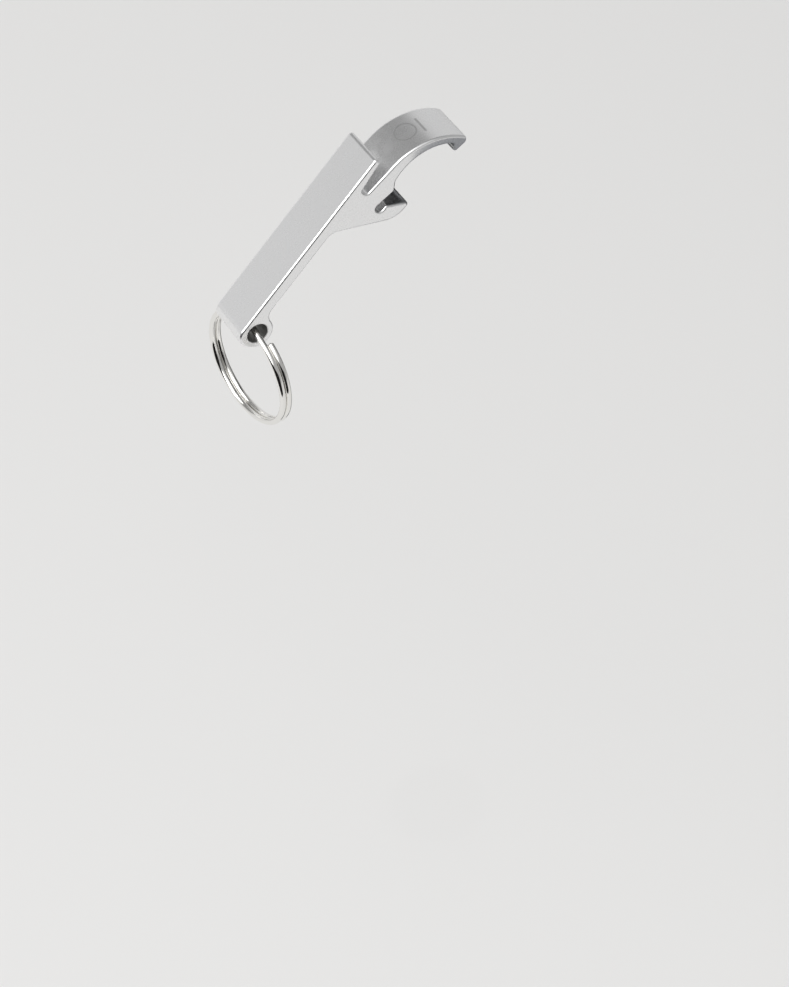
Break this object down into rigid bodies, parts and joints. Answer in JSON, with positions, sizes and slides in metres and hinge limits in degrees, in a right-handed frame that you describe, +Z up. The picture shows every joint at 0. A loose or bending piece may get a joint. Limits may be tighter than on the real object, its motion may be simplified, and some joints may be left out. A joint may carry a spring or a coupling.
{
  "type": "keychain bottle opener",
  "caption": "Keychain bottle opener: a solid aluminium lever with a hooked claw for crown caps, a slot for can tabs and a split ring hung through the eye at its tail.",
  "frame": {"origin": "the toe of the claw's nose, at mid width, where it bears on the top of a crown cap", "axes": "+Z up along the cap's axis, +X across the cap from the lever's grip towards its nose, +Y across the lever's width; the grip leans 45.5 degrees above level and the ring hangs plumb"},
  "size_m": [0.0489, 0.0244, 0.0544],
  "materials": {
    "lever_aluminium": "satin, lightly tumbled",
    "ring_nickel": "bright nickel plate"
  },
  "bodies": {
    "lever": {"opener_lever": "lever_aluminium"},
    "ring": {"split_ring": "ring_nickel"}
  },
  "joints": [
    {"name": "ring_swing", "type": "hinge", "parent": "lever", "child": "ring", "pos_m": [-0.04286, 0, -0.02632], "axis": [0, 1, 0], "range_deg": [-132, 208]}
  ]
}
